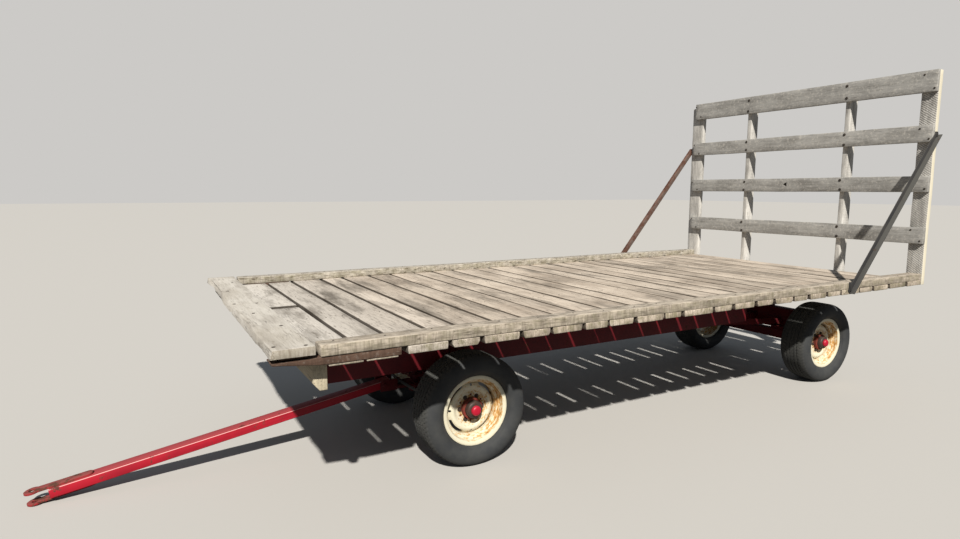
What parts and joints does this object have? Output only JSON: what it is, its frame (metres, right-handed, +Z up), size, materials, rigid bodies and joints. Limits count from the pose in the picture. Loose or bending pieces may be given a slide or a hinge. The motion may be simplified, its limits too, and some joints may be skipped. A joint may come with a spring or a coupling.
{
  "type": "hay wagon",
  "caption": "Four-wheeled hay wagon: flat plank deck with a slatted rack at the rear, on a steel gear steered by its tongue.",
  "frame": {"origin": "on the ground, under the middle of the whole wagon", "axes": "+X forward to the hitch, +Y to the wagon's left, +Z up"},
  "size_m": [6.231, 2.514, 2.58],
  "materials": {
    "deck_wood": "weathered grey-tan planks",
    "edge_wood": "weathered rough boards",
    "rack_wood": "weathered grey boards",
    "brown_wood": "old reddish board",
    "timber": "grey timber",
    "red_paint": "faded red enamel",
    "dark_red_paint": "old red enamel",
    "rusty_steel": "rusted steel",
    "dark_steel": "dull dark steel",
    "cream_paint": "cream enamel with rust",
    "tyre": "worn grey rubber",
    "cap_black": "greasy black cap with a red tip"
  },
  "bodies": {
    "frame": {"deck_planks": "deck_wood", "corner_fillers": "brown_wood", "laths": "deck_wood", "front_board": "edge_wood", "front_packing": "brown_wood", "edge_boards": "edge_wood", "sill_channel_left": "dark_red_paint", "sill_channel_right": "dark_red_paint", "sill_timbers": "timber", "sleepers": "timber", "cross_ties": "timber", "rack_brace_left": "dark_steel", "rack_brace_right": "rusty_steel", "front_bolster": "dark_red_paint", "rear_bolster": "dark_red_paint", "front_axle": "dark_red_paint", "rear_axle": "dark_red_paint", "reach": "dark_red_paint", "front_hounds": "dark_red_paint", "rear_hounds": "dark_red_paint", "rack_uprights": "rack_wood", "rack_boards": "rack_wood"},
    "steering_head": {"steering_head": "dark_red_paint"},
    "tongue": {"tongue_tube": "red_paint", "hitch_straps": "rusty_steel"},
    "tie_rod_left": {"tie_rod_left": "dark_steel"},
    "tie_rod_right": {"tie_rod_right": "dark_steel"},
    "knuckle_left": {"knuckle_left": "dark_red_paint"},
    "knuckle_right": {"knuckle_right": "dark_red_paint"},
    "wheel_front_left": {"tyre_front_left": "tyre", "rim_front_left": "cream_paint", "hub_front_left": "dark_red_paint", "hub_cap_front_left": "cap_black"},
    "wheel_front_right": {"tyre_front_right": "tyre", "rim_front_right": "cream_paint", "hub_front_right": "dark_red_paint", "hub_cap_front_right": "cap_black"},
    "wheel_rear_left": {"tyre_rear_left": "tyre", "rim_rear_left": "cream_paint", "hub_rear_left": "dark_red_paint", "hub_cap_rear_left": "cap_black"},
    "wheel_rear_right": {"tyre_rear_right": "tyre", "rim_rear_right": "cream_paint", "hub_rear_right": "dark_red_paint", "hub_cap_rear_right": "cap_black"}
  },
  "joints": [
    {"name": "tongue_swing", "type": "hinge", "parent": "frame", "child": "steering_head", "pos_m": [0.91046, 0, 0.338], "axis": [0, 0, 1], "range_deg": [-25.5, 25.5]},
    {"name": "tongue_lift", "type": "hinge", "parent": "steering_head", "child": "tongue", "pos_m": [1.14646, 0, 0.36], "axis": [0, -1, 0], "range_deg": [0, 17]},
    {"name": "knuckle_left_turn", "type": "hinge", "parent": "frame", "child": "knuckle_left", "pos_m": [0.82046, 0.455, 0.338], "axis": [0, 0, 1], "range_deg": [-17, 17]},
    {"name": "tie_rod_left_turn", "type": "hinge", "parent": "steering_head", "child": "tie_rod_left", "pos_m": [1.02646, 0.022, 0.361], "axis": [0, 0, 1], "range_deg": [-26.8, 26.8]},
    {"name": "knuckle_right_turn", "type": "hinge", "parent": "frame", "child": "knuckle_right", "pos_m": [0.82046, -0.455, 0.338], "axis": [0, 0, 1], "range_deg": [-17, 17]},
    {"name": "tie_rod_right_turn", "type": "hinge", "parent": "steering_head", "child": "tie_rod_right", "pos_m": [1.02646, -0.022, 0.361], "axis": [0, 0, 1], "range_deg": [-26.8, 26.8]},
    {"name": "wheel_front_left_spin", "type": "hinge", "parent": "knuckle_left", "child": "wheel_front_left", "pos_m": [0.82046, 0.62, 0.338], "axis": [0, 1, 0], "continuous": true},
    {"name": "wheel_front_right_spin", "type": "hinge", "parent": "knuckle_right", "child": "wheel_front_right", "pos_m": [0.82046, -0.62, 0.338], "axis": [0, 1, 0], "continuous": true},
    {"name": "wheel_rear_left_spin", "type": "hinge", "parent": "frame", "child": "wheel_rear_left", "pos_m": [-2.61754, 0.62, 0.338], "axis": [0, 1, 0], "continuous": true},
    {"name": "wheel_rear_right_spin", "type": "hinge", "parent": "frame", "child": "wheel_rear_right", "pos_m": [-2.61754, -0.62, 0.338], "axis": [0, 1, 0], "continuous": true}
  ],
  "couplings": [
    {"joint": "knuckle_left_turn", "follows": "tongue_swing", "ratio": 0.6666},
    {"joint": "tie_rod_left_turn", "follows": "tongue_swing", "ratio": -1.048},
    {"joint": "knuckle_right_turn", "follows": "tongue_swing", "ratio": 0.6666},
    {"joint": "tie_rod_right_turn", "follows": "tongue_swing", "ratio": -1.048}
  ]
}
